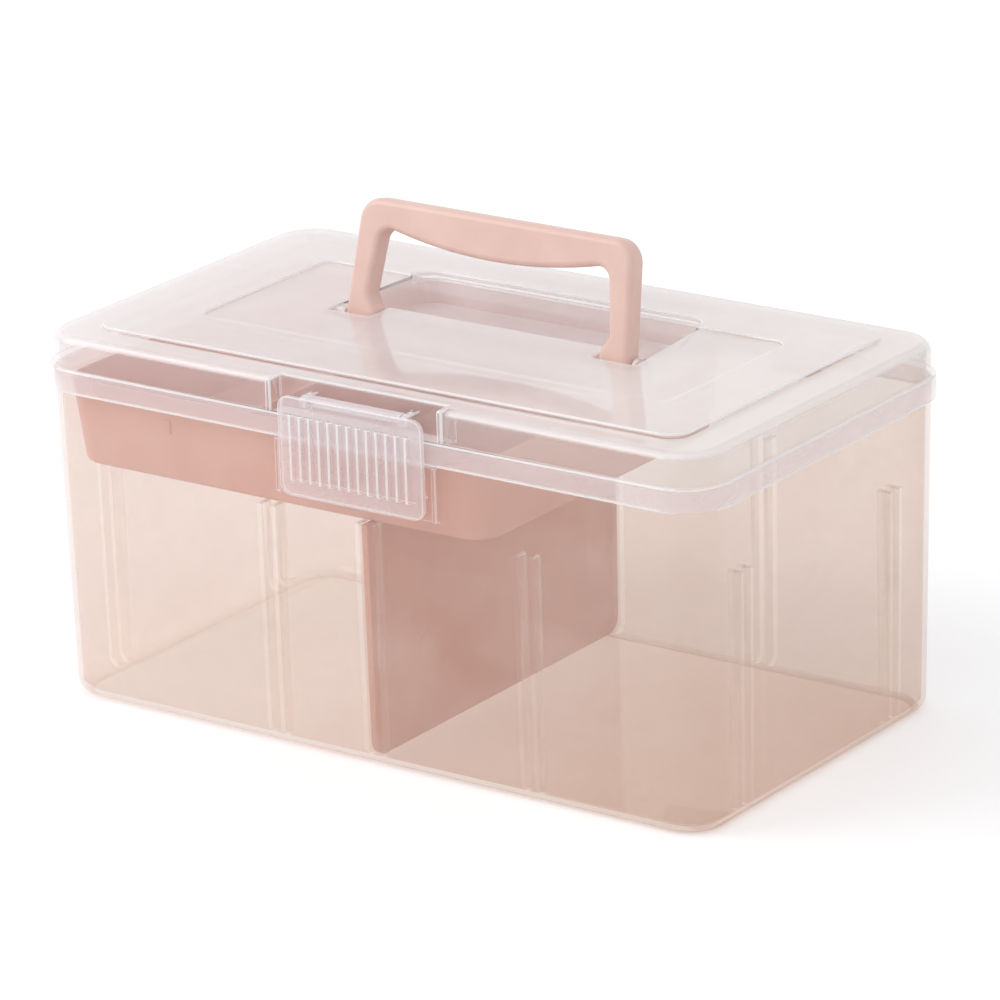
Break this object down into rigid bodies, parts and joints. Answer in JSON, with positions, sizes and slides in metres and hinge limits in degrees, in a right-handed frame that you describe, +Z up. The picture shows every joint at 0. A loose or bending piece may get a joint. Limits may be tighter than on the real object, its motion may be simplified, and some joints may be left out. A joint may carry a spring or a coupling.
{
  "type": "storage case with handle",
  "caption": "Clear rectangular case with a hinged lid, front snap latch, folding carry handle, lift-out tray and a removable divider.",
  "frame": {"origin": "centre of the bounding box at the bottom, on the surface the case stands on", "axes": "+X along the length, to the right seen from the latch side; +Y from the latch side to the hinge side; +Z up"},
  "size_m": [0.3, 0.1772, 0.1861],
  "materials": {
    "clear_plastic": "clear, glossy, slightly milky",
    "pink_plastic": "soft gloss, pale dusty pink"
  },
  "bodies": {
    "case": {"box_body": "clear_plastic", "divider": "pink_plastic"},
    "lid": {"lid": "clear_plastic"},
    "latch": {"latch_clip": "clear_plastic"},
    "handle": {"carry_handle": "pink_plastic"},
    "tray": {"tray": "pink_plastic"}
  },
  "joints": [
    {"name": "lid_hinge", "type": "hinge", "parent": "case", "child": "lid", "pos_m": [0, 0.086, 0.119], "axis": [-1, 0, 0], "range_deg": [0, 105]},
    {"name": "latch_hinge", "type": "hinge", "parent": "lid", "child": "latch", "pos_m": [0, -0.08269, 0.1372], "axis": [-1, 0, 0], "range_deg": [0, 98]},
    {"name": "handle_hinge", "type": "hinge", "parent": "lid", "child": "handle", "pos_m": [0, 0.0015, 0.141], "axis": [-1, 0, 0], "range_deg": [-38, 77.7]},
    {"name": "tray_slide", "type": "slide", "parent": "case", "child": "tray", "axis": [1, 0, 0], "range_m": [0, 0.085]}
  ]
}
